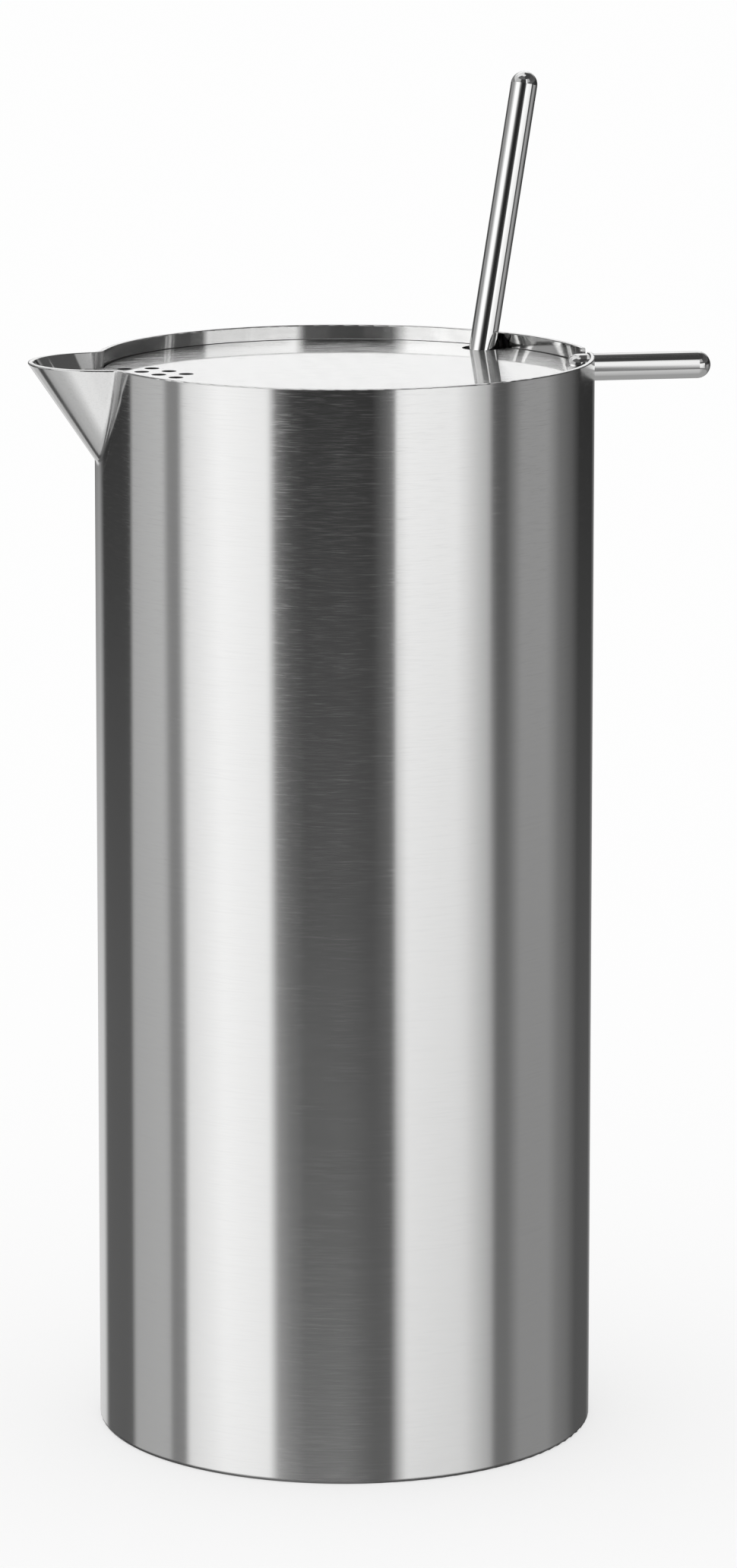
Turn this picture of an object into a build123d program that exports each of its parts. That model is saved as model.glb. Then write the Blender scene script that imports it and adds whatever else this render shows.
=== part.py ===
"""Cocktail pitcher: a steel jug with a cone spout, a loose strainer lid and a loose mixing spoon.

Millimetres. The origin is the middle of the foot, on the table. +Z is up, the lid's bar points
along +X, the spout along -X.
"""

import os
from math import atan, cos, radians, sin, sqrt, tan

from build123d import *

# Jug
body_diameter = 100.0
body_height = 218.0
wall = 1.0
foot_rounding = 0.6
rim_rounding = 0.25

# Base disc, pressed up in the middle
base_thickness = 1.0
base_foot_width = 7.0
base_rise = 1.5
base_step = 4.0

# Spout: the part of a leaning cone that stands out of the tube
spout_reach = 13.8
spout_drop = 20.4
spout_root = 48.0
spout_flare = 16.0
spout_blend = 2.0
weld_margin = 0.4

# Strainer lid
lid_depth = 3.0
lid_thickness = 1.0
lid_gap = 0.4
lid_bevel = 0.25
tongue_reach = 3.0
drain_diameter = 3.0
drain_pitch = 5.5
drain_inset = 11.1

# Round bar for the lid's handle and the spoon's stem
bar_diameter = 5.5
handle_inset = 3.9
handle_reach = 25.0
slide_gap = 0.3

# Mixing spoon
spoon_azimuth = 41.0
spoon_lean = 14.4
stem_above_rim = 53.0
notch_gap = 1.4
bowl_length = 44.0
bowl_width = 24.0
bowl_depth = 5.0
bowl_thickness = 1.2
neck_length = 12.0

# Worked out from the sizes above
body_radius = body_diameter / 2
inner_radius = body_radius - wall
bar_radius = bar_diameter / 2
cone_slope = spout_reach / spout_drop
cone_half = radians(spout_flare)
cone_lean = atan(cone_slope) - cone_half
cone_point_x = cone_slope * (spout_root - spout_drop) - body_radius
collar_depth = spout_root + spout_blend
lid_top = body_height - lid_depth
lid_bottom = lid_top - lid_thickness
lid_radius = inner_radius - lid_gap
bar_z = lid_top - lid_thickness / 2
floor_z = base_thickness + base_rise


def spout_cone(growth):
    """Makes the spout's cone, point down and leaning out of the jug, cut level with the rim.

    Args:
        growth: How far the cone's side lies outside the spout's own.

    Returns:
        The cone.
    """
    axis_x = -sin(cone_lean)
    axis_z = cos(cone_lean)
    drop = growth / sin(cone_half)
    length = 2 * spout_root + drop
    point = (cone_point_x - drop * axis_x, body_height - spout_root - drop * axis_z)
    middle = (point[0] + length * axis_x, point[1] + length * axis_z)
    width = length * tan(cone_half)
    side = (middle[0] + width * axis_z, middle[1] - width * axis_x)
    with BuildPart() as cone:
        with BuildSketch(Plane.XZ):
            Polygon(point, middle, side, align=None)
        revolve(axis=Axis((point[0], 0, point[1]), (axis_x, 0, axis_z)))
        split(bisect_by=Plane((0, 0, body_height)), keep=Keep.BOTTOM)
    return cone.part


def root_edges(part, radius):
    """Picks the root of the spout, where the cone runs into a drum.

    Args:
        part: Builder that holds the drum and the cone.
        radius: Radius of the drum.

    Returns:
        Edges of the root.
    """

    def on_drum(edge):
        middle = edge @ 0.5
        sloping = edge.bounding_box().size.Z > 1e-3
        return sloping and middle.X < 0 and abs(sqrt(middle.X**2 + middle.Y**2) - radius) < 1e-3

    return part.edges().filter_by(on_drum)


outer_cone = spout_cone(0)
inner_cone = spout_cone(-wall)
weld_cone = spout_cone(0.8 * spout_blend + weld_margin)

# The skin of the jug's upper end, outside and inside. Each is a drum and a cone with a rounded root.
with BuildPart() as skin_outside:
    with Locations((0, 0, body_height)):
        Cylinder(body_radius, collar_depth, align=(Align.CENTER, Align.CENTER, Align.MAX))
    add(outer_cone)
    fillet(root_edges(skin_outside, body_radius), spout_blend)

with BuildPart() as skin_inside:
    with Locations((0, 0, body_height)):
        Cylinder(inner_radius, collar_depth, align=(Align.CENTER, Align.CENTER, Align.MAX))
    add(inner_cone)
    fillet(root_edges(skin_inside, inner_radius), spout_blend + wall)

with BuildPart() as collar:
    add(skin_outside.part)
    add(skin_inside.part, mode=Mode.SUBTRACT)
    rim = collar.faces().filter_by(Axis.Z).sort_by(Axis.Z)[-1]
    fillet(rim.edges(), min(rim_rounding, 0.4 * wall))

# Spout: what of the collar lies inside the cone of the weld
with BuildPart() as spout:
    add(collar.part)
    add(weld_cone, mode=Mode.INTERSECT)
spout.part.label = "spout"

# Lid's bar, domed at both ends
handle_start = inner_radius - handle_inset
handle_end = body_radius + handle_reach
bar_top = bar_z + bar_radius
inner_dome = handle_start + bar_radius
outer_dome = handle_end - bar_radius
with BuildPart() as lid_handle:
    with BuildSketch(Plane.XZ):
        with BuildLine():
            Line((handle_start, bar_z), (handle_end, bar_z))
            RadiusArc((handle_end, bar_z), (outer_dome, bar_top), -bar_radius)
            Line((outer_dome, bar_top), (inner_dome, bar_top))
            RadiusArc((inner_dome, bar_top), (handle_start, bar_z), -bar_radius)
        make_face()
    revolve(axis=Axis((0, 0, bar_z), (1, 0, 0)))
lid_handle.part.label = "lid_handle"

# Tube: a straight length, the collar on top of it, the opening for the spout and the bar's notch
with BuildPart() as body_tube:
    with BuildSketch():
        Circle(body_radius)
        Circle(inner_radius, mode=Mode.SUBTRACT)
    extrude(amount=body_height - collar_depth)
    foot = body_tube.faces().filter_by(Axis.Z).sort_by(Axis.Z)[0]
    fillet(foot.edges().sort_by(SortBy.LENGTH)[-1], min(foot_rounding, 0.7 * wall))
    add(collar.part)
    add(weld_cone, mode=Mode.SUBTRACT)
    with BuildSketch(Plane.YZ):
        with Locations((0, bar_z)):
            Circle(bar_radius + slide_gap)
        with Locations((0, bar_z)):
            notch_height = body_height + 1 - bar_z
            notch_width = 2 * (bar_radius + slide_gap)
            Rectangle(notch_width, notch_height, align=(Align.CENTER, Align.MIN))
    extrude(amount=body_diameter, mode=Mode.SUBTRACT)
body_tube.part.label = "body_tube"

# Base disc
panel_radius = inner_radius - base_foot_width
step_start = panel_radius - base_step
with BuildPart() as base_plate:
    with BuildSketch(Plane.XZ):
        Polygon(
            (0, base_rise),
            (step_start, base_rise),
            (panel_radius, 0),
            (inner_radius, 0),
            (inner_radius, base_thickness),
            (panel_radius, base_thickness),
            (step_start, floor_z),
            (0, floor_z),
            align=None,
        )
    revolve(axis=Axis.Z)
base_plate.part.label = "base_plate"

# Spoon's axis: leans outward on the rim, its foot just over the floor
lean_sin = sin(radians(spoon_lean))
lean_cos = cos(radians(spoon_lean))
lean_tan = tan(radians(spoon_lean))
lean_radius = inner_radius - slide_gap - bar_radius / lean_cos
foot_z = floor_z + slide_gap
foot_radius = lean_radius - (body_height - foot_z) * lean_tan
out_x = cos(radians(spoon_azimuth))
out_y = sin(radians(spoon_azimuth))
spoon_plane = Plane(
    origin=(foot_radius * out_x, foot_radius * out_y, foot_z),
    x_dir=(lean_cos * out_x, lean_cos * out_y, -lean_sin),
    z_dir=(lean_sin * out_x, lean_sin * out_y, lean_cos),
)
side_plane = Plane(origin=spoon_plane.origin, x_dir=spoon_plane.x_dir, z_dir=-spoon_plane.y_dir)
spoon_axis = Axis(spoon_plane.origin, spoon_plane.z_dir)
stem_top = (body_height + stem_above_rim - foot_z) / lean_cos
stem_dome = stem_top - bar_radius
stem_foot = bowl_length + neck_length

with BuildPart() as spoon_stem:
    with BuildSketch(side_plane):
        with BuildLine():
            Polyline((0, stem_top), (0, stem_foot), (bar_radius, stem_foot), (bar_radius, stem_dome))
            RadiusArc((bar_radius, stem_dome), (0, stem_top), -bar_radius)
        make_face()
    revolve(axis=spoon_axis)
spoon_stem.part.label = "spoon_stem"

# Lid, with the tongue in the spout, the drain holes and the spoon's notch
throat_height = spout_root - (body_height - lid_bottom) - wall * cos(cone_lean) / sin(cone_half)
throat_point_x = cone_point_x - wall * sin(cone_lean) / sin(cone_half)
throat_front = throat_height * tan(cone_lean + cone_half)
throat_back = throat_height * tan(cone_lean - cone_half)
throat_long = (throat_front - throat_back) / 2
throat_wide = throat_long * sqrt(1 - (sin(cone_lean) / cos(cone_half)) ** 2)
throat_x = throat_point_x - (throat_front + throat_back) / 2
notch_x = lean_radius - (body_height - bar_z) * lean_tan
notch_half = bar_radius + notch_gap
drain_middle = lid_radius - drain_inset
row_step = drain_pitch * sqrt(3) / 2
drain_rows = {-2: (0, 1), -1: (-0.5, 0.5, 1.5), 0: (-1, 0, 1), 1: (-0.5, 0.5, 1.5), 2: (0, 1)}
drains = [
    (-(drain_middle + place * drain_pitch), row * row_step)
    for row, places in drain_rows.items()
    for place in places
]
with BuildPart() as strainer_lid:
    with BuildSketch(Plane.XY.offset(lid_bottom)):
        Circle(lid_radius)
    extrude(amount=lid_thickness)
    lid_face = strainer_lid.faces().filter_by(Axis.Z).sort_by(Axis.Z)[-1]
    chamfer(lid_face.edges(), min(lid_bevel, 0.4 * lid_thickness))
    with BuildSketch(Plane.XY.offset(lid_bottom)):
        with Locations((throat_x, 0)):
            Ellipse(throat_long - 1.2 * slide_gap, throat_wide - 1.2 * slide_gap)
        Circle(inner_radius + tongue_reach, mode=Mode.INTERSECT)
    extrude(amount=lid_thickness)
    with BuildSketch(Plane.XY.offset(lid_bottom)):
        with Locations(Location((0, 0, 0), (0, 0, spoon_azimuth))):
            with Locations((notch_x, 0)):
                Circle(notch_half)
                Rectangle(body_radius, 2 * notch_half, align=(Align.MIN, Align.CENTER))
        with Locations(*drains):
            Circle(drain_diameter / 2)
    extrude(amount=lid_thickness, mode=Mode.SUBTRACT)
    add(lid_handle.part, mode=Mode.SUBTRACT)
strainer_lid.part.label = "strainer_lid"

# Spoon's bowl: a slice of a barrel-shaped shell, hollow side up, with a tapered neck
half_length = bowl_length / 2
across_radius = ((bowl_width / 2) ** 2 + bowl_depth**2) / (2 * bowl_depth)
along_radius = (half_length**2 + bowl_depth**2) / (2 * bowl_depth)
edge_x = -0.5 * bowl_thickness
barrel_x = edge_x + bowl_depth - across_radius
hollow_radius = along_radius - bowl_thickness
hollow_half = sqrt(hollow_radius**2 - (along_radius - bowl_depth) ** 2)
barrel_axis = Axis(side_plane.from_local_coords((barrel_x, 0, 0)), spoon_plane.z_dir)
neck_radius = 0.6 * bar_radius
neck_foot = half_length + hollow_half - bowl_thickness
with BuildPart() as spoon_bowl:
    with BuildSketch(side_plane):
        with BuildLine():
            Polyline((edge_x, bowl_length), (barrel_x, bowl_length), (barrel_x, 0), (edge_x, 0))
            ThreePointArc((edge_x, 0), (edge_x + bowl_depth, half_length), (edge_x, bowl_length))
        make_face()
    revolve(axis=barrel_axis)
    cut_plane = Plane(side_plane.from_local_coords((edge_x, 0, 0)), z_dir=spoon_plane.x_dir)
    split(bisect_by=cut_plane, keep=Keep.TOP)
    with BuildSketch(side_plane):
        Polygon(
            (0, neck_foot),
            (neck_radius, neck_foot),
            (bar_radius, stem_foot),
            (0, stem_foot),
            align=None,
        )
    revolve(axis=spoon_axis)
    with BuildSketch(side_plane):
        with BuildLine():
            hollow_foot = (edge_x, half_length - hollow_half)
            hollow_head = (edge_x, half_length + hollow_half)
            Polyline(hollow_head, (barrel_x, hollow_head[1]), (barrel_x, hollow_foot[1]), hollow_foot)
            ThreePointArc(hollow_foot, (edge_x + bowl_depth - bowl_thickness, half_length), hollow_head)
        make_face()
    revolve(axis=barrel_axis, mode=Mode.SUBTRACT)
spoon_bowl.part.label = "spoon_bowl"

nodes = (body_tube, base_plate, spout, strainer_lid, lid_handle, spoon_stem, spoon_bowl)
os.makedirs("parts", exist_ok=True)
for node in nodes:
    export_step(node.part, f"parts/{node.part.label}.step")
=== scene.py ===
"""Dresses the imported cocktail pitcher: brushed jug, bright lid and spoon, plain pale studio."""

from __future__ import annotations

import logging
import math
from dataclasses import dataclass
from enum import Enum
from typing import Any, Union

import bmesh
import bpy
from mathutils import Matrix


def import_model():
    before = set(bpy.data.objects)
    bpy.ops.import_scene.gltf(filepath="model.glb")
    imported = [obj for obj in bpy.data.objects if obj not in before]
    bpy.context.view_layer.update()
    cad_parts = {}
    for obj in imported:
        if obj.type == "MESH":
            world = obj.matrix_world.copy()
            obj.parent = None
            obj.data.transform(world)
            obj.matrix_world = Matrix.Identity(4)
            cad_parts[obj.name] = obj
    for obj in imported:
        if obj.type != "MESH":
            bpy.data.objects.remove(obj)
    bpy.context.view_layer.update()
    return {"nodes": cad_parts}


LOG = logging.getLogger("cocktail_pitcher")
MM = 0.001

# A full turn in degrees, and the place along it that faces the camera.
FULL_TURN = 360.0
FRONT = 0.5

# Places of the two colours among a Mix node's inputs, and of their mix among its outputs.
MIX_FIRST = 6
MIX_SECOND = 7
MIX_RESULT = 2

Number = Union[int, float]
Span = tuple[float, float]
Triple = tuple[float, float, float]
Colour = Triple


class Socket:
    """Wraps a node socket, so that shader maths reads as a Python expression."""

    def __init__(self, graph: "Graph", socket: bpy.types.NodeSocket) -> None:
        """Keeps the graph, where new nodes go, and the socket."""
        self.graph = graph
        self.socket = socket

    def _math(self, operation: str, *operands: Any) -> "Socket":
        """Adds a Math node.

        Args:
            operation: Name of the Math node's operation.
            operands: Sockets or numbers, in the node's order.

        Returns:
            The node's result.
        """
        inputs = dict(enumerate(operands))
        return self.graph.add("ShaderNodeMath", {"operation": operation}, inputs)

    def __add__(self, other: Any) -> "Socket":
        """Adds."""
        return self._math("ADD", self, other)

    def __sub__(self, other: Any) -> "Socket":
        """Subtracts."""
        return self._math("SUBTRACT", self, other)

    def __rsub__(self, other: Any) -> "Socket":
        """Subtracts from a number."""
        return self._math("SUBTRACT", other, self)

    def __mul__(self, other: Any) -> "Socket":
        """Multiplies."""
        return self._math("MULTIPLY", self, other)

    def __truediv__(self, other: Any) -> "Socket":
        """Divides."""
        return self._math("DIVIDE", self, other)

    def __pow__(self, other: Any) -> "Socket":
        """Raises to a power."""
        return self._math("POWER", self, other)

    def angle_from(self, other: "Socket") -> "Socket":
        """Gives the angle of the point whose sine part is this value and cosine part the other."""
        return self._math("ARCTAN2", self, other)

    def length_with(self, other: "Socket") -> "Socket":
        """Gives the distance from the origin of the point whose parts are this value and the other."""
        return (self * self + other * other) ** 0.5

    def step(self, low: Number, high: Number) -> "Socket":
        """Rises smoothly from 0 to 1 between two values.

        Args:
            low: Value up to which the result is 0.
            high: Value from which the result is 1.

        Returns:
            The eased step.
        """
        settings = {"interpolation_type": "SMOOTHSTEP", "clamp": True}
        inputs = {"Value": self, "From Min": low, "From Max": high}
        return self.graph.add("ShaderNodeMapRange", settings, inputs)

    def towards(self, other: "Socket", share: "Socket") -> "Socket":
        """Goes from this value to another.

        Args:
            other: Value at a share of 1.
            share: How far it goes, from 0 to 1.

        Returns:
            The value between them.
        """
        return self + (other - self) * share


class Graph:
    """Adds nodes to one node tree."""

    def __init__(self, tree: bpy.types.NodeTree) -> None:
        """Empties the tree."""
        self.tree = tree
        self.tree.nodes.clear()

    def node(self, kind: str, settings: dict[str, Any], inputs: dict[Any, Any]) -> bpy.types.Node:
        """Adds any node.

        Args:
            kind: The node's type.
            settings: The node's own properties, with "stops" for a ramp, set first.
            inputs: Values or sockets by the input's name or place.

        Returns:
            The node.
        """
        node = self.tree.nodes.new(kind)
        for name, value in settings.items():
            if name == "stops":
                self._set_stops(node.color_ramp, value)
            else:
                setattr(node, name, value)
        for name, value in inputs.items():
            if isinstance(value, Socket):
                self.tree.links.new(value.socket, node.inputs[name])
            else:
                node.inputs[name].default_value = value
        return node

    def add(self, kind: str, settings: dict[str, Any], inputs: dict[Any, Any], output: Any = 0) -> Socket:
        """Adds any node and gives one of its outputs.

        Args:
            kind: The node's type.
            settings: The node's own properties.
            inputs: Values or sockets by the input's name or place.
            output: Name or place of the output.

        Returns:
            The output.
        """
        return Socket(self, self.node(kind, settings, inputs).outputs[output])

    def axes(self, vector: Socket) -> list[Socket]:
        """Splits a vector into its three parts."""
        split = self.node("ShaderNodeSeparateXYZ", {}, {"Vector": vector})
        return [Socket(self, output) for output in split.outputs]

    def stretched(self, place: Socket, size: Triple, turn: Triple = (0.0, 0.0, 0.0)) -> Socket:
        """Stretches and turns a place, so that noise laid on it makes marks of a size.

        Args:
            place: Place on the piece.
            size: Size of a mark along each axis.
            turn: Angles by which the marks are turned.

        Returns:
            The place to lay the noise on.
        """
        inputs = {"Vector": place, "Rotation": turn, "Scale": size}
        return self.add("ShaderNodeMapping", {"vector_type": "TEXTURE"}, inputs)

    def noise(
        self,
        place: Socket,
        detail: float,
        scale: float = 1.0,
        gain: float = 0.5,
        swirl: float = 0.0,
        output: str = "Fac",
    ) -> Socket:
        """Lays noise, which is about 0.5 on average.

        Args:
            place: Place to lay it on.
            detail: Layers of finer noise.
            scale: How fine it is.
            gain: How strong each finer layer is beside the one before.
            swirl: How much it is twisted.
            output: "Fac" for one value, "Color" for three.

        Returns:
            The noise.
        """
        inputs = {
            "Vector": place,
            "Scale": scale,
            "Detail": detail,
            "Roughness": gain,
            "Distortion": swirl,
        }
        return self.add("ShaderNodeTexNoise", {}, inputs, output)

    def relief(self, height: Socket, strength: float, depth: float) -> Socket:
        """Makes a fine relief.

        Args:
            height: Height of the relief, from 0 to 1.
            strength: How much of it shows.
            depth: What a height of 1 stands for.

        Returns:
            The normal on the relief.
        """
        inputs = {"Height": height, "Strength": strength, "Distance": depth}
        return self.add("ShaderNodeBump", {}, inputs)

    def tint(self, share: Socket, first: Union[Colour, Socket], second: Colour) -> Socket:
        """Mixes two colours.

        Args:
            share: How much of the second colour there is.
            first: Colour at 0, or a colour that is mixed already.
            second: Colour at 1.

        Returns:
            The mixed colour.
        """
        ground = first if isinstance(first, Socket) else (*first, 1.0)
        inputs = {"Factor": share, MIX_FIRST: ground, MIX_SECOND: (*second, 1.0)}
        return self.add("ShaderNodeMix", {"data_type": "RGBA"}, inputs, MIX_RESULT)

    @staticmethod
    def _set_stops(ramp: bpy.types.ColorRamp, stops: list[Span]) -> None:
        """Sets a grey ramp's stops.

        Args:
            ramp: Ramp to fill.
            stops: Place and grey level of each stop, in order.
        """
        while len(ramp.elements) > 1:
            ramp.elements.remove(ramp.elements[-1])
        ramp.elements[0].position = stops[0][0]
        ramp.elements[0].color = (stops[0][1],) * 3 + (1.0,)
        for place, level in stops[1:]:
            element = ramp.elements.new(place)
            element.color = (level, level, level, 1.0)


@dataclass(frozen=True)
class Finish:
    """What every steel finish here has: a name, a colour, and marks in which it is duller."""

    name: str
    colour: Colour = (0.88, 0.88, 0.875)
    dullness_and_painted_shade: float = 0.05
    mark_step: Span = (0.3, 0.55)

    def begin(self) -> tuple[bpy.types.Material, Graph, Socket]:
        """Starts the material.

        Returns:
            The material, its graph and the place on the piece.
        """
        material = bpy.data.materials.new(self.name)
        material.use_nodes = True
        graph = Graph(material.node_tree)
        return material, graph, graph.add("ShaderNodeTexCoord", {}, {}, "Object")

    def dull_and_painted_shade_colour(self) -> Colour:
        """Gives the colour in the marks, which a ground sheet also uses below its top as painted shade.
        """
        red, green, blue = [part * (1.0 - self.dullness_and_painted_shade) for part in self.colour]
        return red, green, blue

    def marked(self, graph: Graph, marks: Socket) -> Socket:
        """Gives the colour of steel with marks.

        Args:
            graph: The material's graph.
            marks: Noise that is low in the marks.

        Returns:
            The colour, duller in the marks.
        """
        return graph.tint(marks.step(*self.mark_step), self.dull_and_painted_shade_colour(), self.colour)

    def close(self, graph: Graph, inputs: dict[str, Any]) -> None:
        """Adds the metal and the output.

        Args:
            graph: The material's graph.
            inputs: Values or sockets of the metal.
        """
        steel = graph.add("ShaderNodeBsdfPrincipled", {}, {"Metallic": 1.0, **inputs})
        graph.node("ShaderNodeOutputMaterial", {}, {"Surface": steel})


@dataclass(frozen=True)
class BrushedRound(Finish):
    """Satin steel, brushed round the jug's axis, polished finer inside the rim and left dull below it,
    and painted near-black at the foot as shade.
    """

    mark_step: Span = (0.25, 0.55)
    outside_step: Span = (49.1 * MM, 49.5 * MM)
    rim_step: Span = (212 * MM, 213 * MM)
    # The bottom band of the jug is painted near-black: painted shade where the jug meets the floor.
    painted_foot_shade_step: Span = (0.45 * MM, 0.9 * MM)
    painted_foot_shade_colour: Colour = (0.16, 0.16, 0.16)
    handled_step: Span = (42.6 * MM, 213 * MM)
    least_handled: float = 0.3
    streak_gain: float = 0.6
    line_length: float = 9 * MM
    line_height: float = 0.16 * MM
    line_detail: float = 3.0
    line_step: Span = (0.5, 0.75)
    scratch_length: float = 4 * MM
    scratch_height: float = 0.15 * MM
    scratch_detail: float = 1.0
    scratch_step: Span = (0.52, 0.76)
    smudge_detail: float = 2.0
    smudge_scale: float = 22.0
    smudge_middle: float = 0.5
    rough_outside: float = 0.12
    rough_inside: float = 0.07
    rough_deep: float = 0.5
    rough_line: float = 0.03
    rough_smudge: float = 0.03
    rough_scratch: float = 0.075
    rough_foot: float = 0.3
    relief_strength: float = 0.012
    relief_depth: float = 0.02 * MM
    anisotropy: float = 0.88
    anisotropy_turn: float = 0.25

    def make(self) -> bpy.types.Material:
        """Builds the material.

        Returns:
            The material.
        """
        material, graph, place = self.begin()
        x, y, z = graph.axes(place)
        outside = x.length_with(y).step(*self.outside_step)
        deep = (1.0 - outside) * (1.0 - z.step(*self.rim_step))
        # Mask of the painted shade at the foot, which is also rougher there.
        painted_foot_shade = 1.0 - z.step(*self.painted_foot_shade_step)
        handled = z.step(*self.handled_step) * (1.0 - self.least_handled) + self.least_handled
        lines = self.streaks(graph, place, self.line_length, self.line_height, self.line_detail)
        marks = self.streaks(graph, place, self.scratch_length, self.scratch_height, self.scratch_detail)
        scratches = outside * handled * marks.step(*self.scratch_step)
        smudge = graph.noise(place, self.smudge_detail, self.smudge_scale) - self.smudge_middle
        rough = outside * (self.rough_outside - self.rough_inside) + self.rough_inside
        rough = rough + deep * (self.rough_deep - self.rough_inside)
        rough = rough + outside * lines.step(*self.line_step) * self.rough_line
        rough = rough + smudge * self.rough_smudge
        rough = rough + scratches * self.rough_scratch
        rough = rough + painted_foot_shade * self.rough_foot * lines
        self.close(
            graph,
            {
                "Base Color": graph.tint(painted_foot_shade, self.marked(graph, lines), self.painted_foot_shade_colour),
                "Roughness": rough,
                "Anisotropic": self.anisotropy,
                "Anisotropic Rotation": self.anisotropy_turn,
                "Normal": graph.relief(lines, self.relief_strength, self.relief_depth),
            },
        )
        return material

    def streaks(self, graph: Graph, place: Socket, length: float, height: float, detail: float) -> Socket:
        """Lays noise in short level streaks.

        Args:
            graph: The material's graph.
            place: Place on the piece.
            length: Length of a streak.
            height: Height of a streak.
            detail: Layers of finer noise.

        Returns:
            The noise.
        """
        level = graph.stretched(place, (length, length, height))
        return graph.noise(level, detail, gain=self.streak_gain)


@dataclass(frozen=True)
class PolishedBar(Finish):
    """Round bar, polished along its length, so that hair lines run with it."""

    lean: float = 0.0
    heading: float = 0.0
    rough: float = 0.05
    rough_line: float = 0.1
    line_width: float = 0.12 * MM
    line_length: float = 14 * MM
    line_detail: float = 2.0
    line_gain: float = 0.55
    line_step: Span = (0.5, 0.8)
    relief_strength: float = 0.04
    relief_depth: float = 0.01 * MM

    def make(self) -> bpy.types.Material:
        """Builds the material.

        Returns:
            The material.
        """
        material, graph, place = self.begin()
        size = (self.line_width, self.line_width, self.line_length)
        turn = (0.0, math.radians(self.lean), math.radians(self.heading))
        lines = graph.noise(graph.stretched(place, size, turn), self.line_detail, gain=self.line_gain)
        self.close(
            graph,
            {
                "Base Color": self.marked(graph, lines),
                "Roughness": lines.step(*self.line_step) * self.rough_line + self.rough,
                "Normal": graph.relief(lines, self.relief_strength, self.relief_depth),
            },
        )
        return material


@dataclass(frozen=True)
class BuffedForm(Finish):
    """Formed steel, buffed by hand: bright, with faint clouds, fine wiping marks and perhaps a weld."""

    rough: float = 0.08
    rough_cloud: float = 0.1
    cloud_size: float = 9 * MM
    cloud_detail: float = 3.0
    cloud_gain: float = 0.6
    cloud_step: Span = (0.4, 0.8)
    mark_size: float = 0.5 * MM
    mark_detail: float = 2.0
    mark_swirl: float = 1.5
    weld_radius: float = 0.0
    weld_width: float = 0.7 * MM
    weld_step: Span = (204 * MM, 212 * MM)
    rough_weld: float = 0.22

    def make(self) -> bpy.types.Material:
        """Builds the material.

        Returns:
            The material.
        """
        material, graph, place = self.begin()
        clouds = graph.noise(place, self.cloud_detail, 1 / self.cloud_size, self.cloud_gain)
        marks = graph.noise(place, self.mark_detail, 1 / self.mark_size, swirl=self.mark_swirl)
        rough = clouds.step(*self.cloud_step) * self.rough_cloud + self.rough
        if self.weld_radius:
            x, y, z = graph.axes(place)
            apart = x.length_with(y).step(self.weld_radius, self.weld_radius + self.weld_width)
            rough = rough + (1.0 - apart) * z.step(*self.weld_step) * self.rough_weld
        self.close(graph, {"Base Color": self.marked(graph, marks), "Roughness": rough})
        return material


@dataclass(frozen=True)
class GroundSheet(Finish):
    """Sheet with a bright, faintly hazy top, in which fine straight grooves are left.

    Its cut edges just below the top are painted dark, as shade for the gap to the wall; below the top,
    the sides and underside are painted darker as shade, and are rougher.
    """

    top_step: Span = (214.95 * MM, 214.98 * MM)
    # Painted shade: the cut edge just below the top is darkened for the gap between lid and wall.
    painted_gap_shade_step: Span = (214.65 * MM, 214.72 * MM)
    painted_gap_shade_colour: Colour = (0.12, 0.12, 0.12)
    rough: float = 0.04
    rough_under: float = 0.4
    groove_width: float = 0.03 * MM
    groove_length: float = 6 * MM
    groove_detail: float = 1.0
    groove_step: Span = (0.52, 0.6)
    groove_lean: float = 0.6
    haze: float = 0.5
    rough_haze: float = 0.5

    def make(self) -> bpy.types.Material:
        """Builds the material.

        Returns:
            The material.
        """
        material, graph, place = self.begin()
        _, _, z = graph.axes(place)
        upper = z.step(*self.top_step)
        # Painted shade along the cut edge below the top.
        painted_gap_shade = (1.0 - upper) * z.step(*self.painted_gap_shade_step)
        # Below the top the sheet takes the darker colour: painted shade on its sides and underside.
        sheet = graph.tint(upper, self.dull_and_painted_shade_colour(), self.colour)
        self.close(
            graph,
            {
                "Base Color": graph.tint(painted_gap_shade, sheet, self.painted_gap_shade_colour),
                "Roughness": (1.0 - upper) * (self.rough_under - self.rough) + self.rough,
                "Coat Weight": upper * self.haze,
                "Coat Roughness": self.rough_haze,
                "Normal": self.grooved(graph, place, upper),
            },
        )
        return material

    def grooved(self, graph: Graph, place: Socket, share: Socket) -> Socket:
        """Cuts fine grooves along X, whose sides lean mostly one way.

        Args:
            graph: The material's graph.
            place: Place on the piece.
            share: Where the grooves are, 1, and where they aren't, 0.

        Returns:
            The normal in the grooves.
        """
        level = graph.stretched(place, (self.groove_length, self.groove_width, self.groove_width))
        noise = graph.noise(level, self.groove_detail, output="Color")
        cut, side, _ = graph.axes(noise)
        slope = share * cut.step(*self.groove_step) * (side - self.groove_lean)
        tilt = graph.add("ShaderNodeCombineXYZ", {}, {"Y": slope})
        facing = graph.add("ShaderNodeNewGeometry", {}, {}, "Normal")
        normal = graph.add("ShaderNodeVectorMath", {"operation": "ADD"}, {0: facing, 1: tilt})
        return graph.add("ShaderNodeVectorMath", {"operation": "NORMALIZE"}, {0: normal})


@dataclass
class Jug:
    """The welded jug: tube, pressed base and spout."""

    tube_radius: float = 50 * MM
    colour: Colour = (0.87, 0.87, 0.865)
    dullness_and_painted_shade: float = 0.03

    def dress(self, nodes: dict[str, bpy.types.Object]) -> None:
        """Gives the jug's pieces their finish.

        Args:
            nodes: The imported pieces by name.
        """
        brushed = BrushedRound("satin_steel_brushed_round", self.colour, self.dullness_and_painted_shade)
        wear(nodes["body_tube"], brushed.make())
        wear(nodes["base_plate"], brushed.make())
        formed = BuffedForm("buffed_steel_spout", weld_radius=self.tube_radius)
        wear(nodes["spout"], formed.make())


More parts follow.
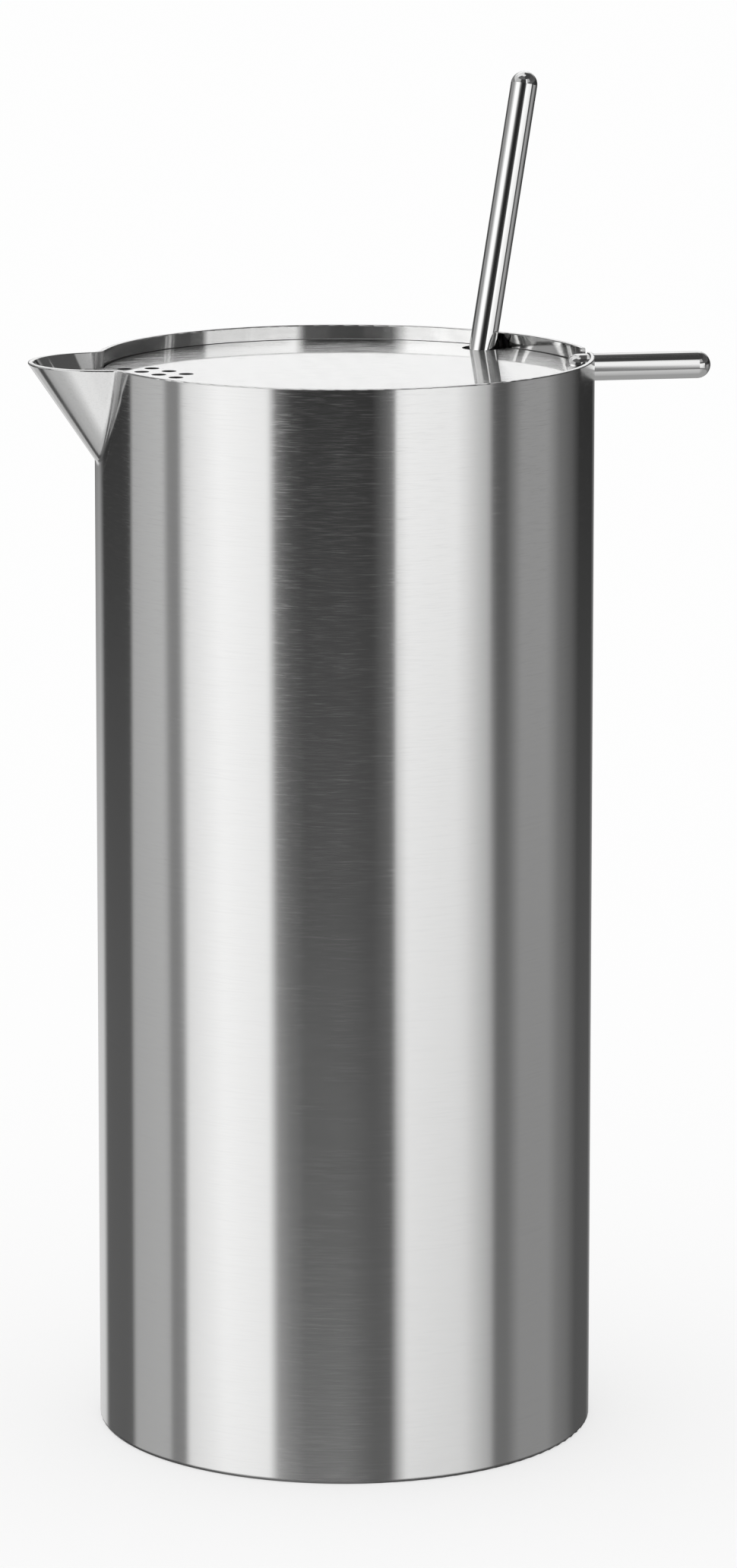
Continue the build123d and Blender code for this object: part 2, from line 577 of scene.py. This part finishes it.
@dataclass
class Lid:
    """The strainer lid with its bar."""

    colour: Colour = (0.92, 0.92, 0.915)
    # Half as bright below the lid's top: painted shade on its sides and underside.
    dullness_and_painted_shade: float = 0.5
    bar_lean: float = 90.0

    def dress(self, nodes: dict[str, bpy.types.Object]) -> None:
        """Gives the lid's pieces their finish.

        Args:
            nodes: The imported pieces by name.
        """
        sheet = GroundSheet("ground_steel_lid", self.colour, self.dullness_and_painted_shade)
        wear(nodes["strainer_lid"], sheet.make())
        bar = PolishedBar("polished_steel_lid_bar", lean=self.bar_lean)
        wear(nodes["lid_handle"], bar.make())


@dataclass
class Spoon:
    """The mixing spoon, which leans in the lid's notch."""

    lean: float = 14.4
    heading: float = 41.0
    stem_colour: Colour = (0.95, 0.95, 0.945)
    rough_stem: float = 0.04
    rough_bowl: float = 0.06

    def dress(self, nodes: dict[str, bpy.types.Object]) -> None:
        """Gives the spoon's pieces their finish.

        Args:
            nodes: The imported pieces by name.
        """
        stem = PolishedBar(
            "polished_steel_spoon_stem",
            self.stem_colour,
            lean=self.lean,
            heading=self.heading,
            rough=self.rough_stem,
        )
        wear(nodes["spoon_stem"], stem.make())
        bowl = BuffedForm("buffed_steel_spoon_bowl", rough=self.rough_bowl)
        wear(nodes["spoon_bowl"], bowl.make())


def wear(piece: bpy.types.Object, material: bpy.types.Material) -> None:
    """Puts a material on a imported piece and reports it.

    Args:
        piece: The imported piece.
        material: Its finish.
    """
    for place in piece.material_slots:
        place.material = material
    LOG.info("%s wears %s", piece.name, material.name)


@dataclass(frozen=True)
class Card:
    """A card, lamp or dark flag that stands round the set, from one angle to another."""

    start: float
    end: float
    level: float
    end_level: float | None = None

    def stops(self) -> list[Span]:
        """Gives the card's two ramp stops: place along the full turn, and level."""
        last = self.level if self.end_level is None else self.end_level
        return [(self.start / FULL_TURN + FRONT, self.level), (self.end / FULL_TURN + FRONT, last)]


class Row(Enum):
    """Rows of cards, from the table up, each with the rise at which it takes over."""

    TABLE = (-2.0, -1.9)
    SHADOW = (-0.55, -0.5)
    LOW = (-0.4, -0.35)
    LEVEL = (-0.26, -0.12)
    HIGH = (-0.06, 0.02)
    BACKDROP = (0.085, 0.11)
    MIDDLE = (0.2, 0.26)
    UPPER = (0.4, 0.46)
    CEILING = (0.7, 0.79)
    ZENITH = (0.975, 0.988)


CARDS: dict[Row, list[Card]] = {
    Row.TABLE: [
        Card(-180, -143, 0.5),
        Card(-139, -131, 0.08),
        Card(-126, -112, 0.36, 0.46),
        Card(-92, -80, 0.5, 0.6),
        Card(-60, -34, 0.84),
        Card(-20, 5, 0.8),
        Card(22, 34, 0.64, 0.52),
        Card(60, 180, 0.36),
    ],
    Row.SHADOW: [
        Card(-180, -143, 0.5),
        Card(-139, -131, 0.07),
        Card(-126, -110, 0.2, 0.14),
        Card(-90, -80, 0.12),
        Card(-72, -66, 0.16, 0.2),
        Card(-46, 0, 0.75, 0.9),
        Card(15, 180, 0.2),
    ],
    Row.LOW: [
        Card(-180, -154, 0.66),
        Card(-147, -118, 0.11),
        Card(-115, -90, 0.4, 0.44),
        Card(-87, -80, 0.22),
        Card(-77, -58, 0.82, 1.02),
        Card(-56, -35, 1.02, 0.9),
        Card(-30.5, -30, 0.28),
        Card(-24, -23, 0.16),
        Card(-18, 21.5, 0.1),
        Card(29, 57, 0.86, 0.76),
        Card(66, 72, 0.56, 0.42),
        Card(75, 82, 0.16),
        Card(90, 110, 0.27),
        Card(118, 128, 0.2, 0.16),
        Card(138, 162, 0.09),
        Card(170, 180, 0.3),
    ],
    Row.LEVEL: [
        Card(-180, -156, 0.1, 0.24),
        Card(-148, -116.5, 0.03),
        Card(-114.5, -92, 0.44, 0.54),
        Card(-89, -82, 0.24),
        Card(-79.5, -60, 0.76, 1.02),
        Card(-58, -35.5, 1.02, 0.92),
        Card(-31.5, -31, 0.07),
        Card(-27, 12.5, 0.012),
        Card(22.3, 22.4, 0.2),
        Card(23.8, 52, 1.0, 0.95),
        Card(62, 69.5, 0.62, 0.42),
        Card(71.5, 79, 0.08),
        Card(89, 106, 0.33),
        Card(117, 128, 0.16, 0.1),
        Card(138, 162, 0.025),
        Card(170, 180, 0.2),
    ],
    Row.HIGH: [
        Card(-180, -121, 0.06),
        Card(-117, -93, 0.3),
        Card(-90, -83, 0.06),
        Card(-79, -67, 0.72),
        Card(-65, -28, 1.0),
        Card(-24, 20, 0.02),
        Card(24, 69, 1.0, 0.85),
        Card(72, 100, 0.045),
        Card(110, 180, 0.025),
    ],
    Row.BACKDROP: [
        Card(-180, -172, 0.95),
        Card(-165, -121, 0.25),
        Card(-117, -93, 0.3),
        Card(-90, -83, 0.06),
        Card(-79, -67, 0.8),
        Card(-65, -31, 1.2, 1.3),
        Card(-27.5, -27, 0.7),
        Card(-22.5, -22, 0.12),
        Card(-15, 19, 0.02),
        Card(24, 69, 1.1, 0.85),
        Card(72, 100, 0.045),
        Card(110, 160, 0.025),
        Card(172, 180, 0.95),
    ],
    Row.MIDDLE: [
        Card(-180, -172, 0.95),
        Card(-165, -118, 0.2),
        Card(-100, -92, 0.3, 0.42),
        Card(-76, -70, 0.8, 1.1),
        Card(-60, -42, 1.1, 1.0),
        Card(-27, -26, 0.14),
        Card(-15, 5, 0.02),
        Card(17, 18, 0.1),
        Card(21.5, 25, 1.0),
        Card(30, 140, 0.12, 0.08),
        Card(172, 180, 0.95),
    ],
    Row.UPPER: [
        Card(-180, -150, 0.95),
        Card(-135, -100, 0.6),
        Card(-85, -45, 0.5),
        Card(-30, 17, 0.04),
        Card(21, 27, 1.0),
        Card(30, 56, 0.46, 0.36),
        Card(59, 150, 0.08),
        Card(168, 180, 0.95),
    ],
    Row.CEILING: [
        Card(-180, -98, 0.7, 0.85),
        Card(-86, 8, 0.12),
        Card(18, 140, 0.05),
        Card(155, 170, 0.1),
        Card(178, 180, 0.7),
    ],
    Row.ZENITH: [
        Card(-180, 180, 0.75),
    ],
}


@dataclass
class Studio:
    """Camera, floor and the set that the metal mirrors."""

    azimuth: float = -10.0
    distance: float = 1.216
    camera_height: float = 0.378
    level_pitch: float = 90.0
    tilt: float = 8.57
    sensor: float = 36.0
    lens: float = 140.79
    shift: Span = (0.0153, -0.2)
    floor_size: float = 6.0
    floor_colour: Colour = (0.97, 0.97, 0.97)
    floor_glow: float = 0.6

    def build(self) -> None:
        """Builds the whole set."""
        bpy.context.scene.view_settings.view_transform = "Standard"
        self.build_camera()
        self.build_world()
        self.build_floor()

    def build_world(self) -> None:
        """Makes the world: white to the camera, soft and even on matt things, cards to metal."""
        world = bpy.data.worlds.new("studio")
        world.use_nodes = True
        bpy.context.scene.world = world
        graph = Graph(world.node_tree)
        aim = graph.add("ShaderNodeTexCoord", {}, {}, "Generated")
        turn = math.radians(self.azimuth)
        to_camera = (math.sin(turn), -math.cos(turn), 0.0)
        to_right = (math.cos(turn), math.sin(turn), 0.0)
        dot = {"operation": "DOT_PRODUCT"}
        towards = graph.add("ShaderNodeVectorMath", dot, {0: aim, 1: to_camera}, "Value")
        sideways = graph.add("ShaderNodeVectorMath", dot, {0: aim, 1: to_right}, "Value")
        rise = graph.add("ShaderNodeVectorMath", dot, {0: aim, 1: (0.0, 0.0, 1.0)}, "Value")
        around = sideways.angle_from(towards) / math.tau + FRONT
        rows = list(Row)
        band = self._row(graph, rows[0], around)
        for row in rows[1:]:
            band = band.towards(self._row(graph, row, around), rise.step(*row.value))
        glossy = graph.add("ShaderNodeLightPath", {}, {}, "Is Glossy Ray")
        seen = 1.0 - glossy + glossy * band
        light = graph.add("ShaderNodeBackground", {}, {"Color": seen, "Strength": 1.0})
        graph.node("ShaderNodeOutputWorld", {}, {"Surface": light})

    @staticmethod
    def _row(graph: Graph, row: Row, around: Socket) -> Socket:
        """Turns a row of cards into a ramp.

        Args:
            graph: The world's graph.
            row: Row, whose cards go from the back, round by the left, the camera and the right.
            around: Place along the full turn.

        Returns:
            The level that is seen there.
        """
        stops = [stop for card in CARDS[row] for stop in card.stops()]
        return graph.add("ShaderNodeValToRGB", {"stops": stops}, {0: around})

    def build_floor(self) -> None:
        """Lays the pale floor, which keeps a light shadow but doesn't show in the metal."""
        mesh = bpy.data.meshes.new("floor")
        shape = bmesh.new()
        bmesh.ops.create_grid(shape, x_segments=1, y_segments=1, size=self.floor_size)
        shape.to_mesh(mesh)
        shape.free()
        floor = bpy.data.objects.new("floor", mesh)
        bpy.context.scene.collection.objects.link(floor)
        floor.visible_glossy = False
        material = bpy.data.materials.new("pale_floor")
        material.use_nodes = True
        graph = Graph(material.node_tree)
        matt = graph.add("ShaderNodeBsdfDiffuse", {}, {"Color": (*self.floor_colour, 1.0)})
        white = graph.add("ShaderNodeEmission", {}, {"Color": (1.0, 1.0, 1.0, 1.0), "Strength": 1.0})
        seen = graph.add("ShaderNodeLightPath", {}, {}, "Is Camera Ray")
        mixed = graph.add("ShaderNodeMixShader", {}, {0: seen * self.floor_glow, 1: matt, 2: white})
        graph.node("ShaderNodeOutputMaterial", {}, {"Surface": mixed})
        mesh.materials.append(material)

    def build_camera(self) -> None:
        """Sets up the camera."""
        data = bpy.data.cameras.new("camera")
        data.sensor_fit = "VERTICAL"
        data.sensor_height = self.sensor
        data.lens = self.lens
        data.shift_x, data.shift_y = self.shift
        camera = bpy.data.objects.new("camera", data)
        turn = math.radians(self.azimuth)
        x = self.distance * math.sin(turn)
        y = -self.distance * math.cos(turn)
        camera.location = (x, y, self.camera_height)
        camera.rotation_euler = (math.radians(self.level_pitch - self.tilt), 0.0, turn)
        bpy.context.scene.collection.objects.link(camera)
        bpy.context.scene.camera = camera


def main() -> None:
    """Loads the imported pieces, builds the set and dresses each sub-assembly."""
    logging.basicConfig(level=logging.INFO, format="%(name)s: %(message)s")
    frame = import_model()
    Studio().build()
    for assembly in (Jug(), Lid(), Spoon()):
        assembly.dress(frame["nodes"])


if __name__ == "__main__":
    main()
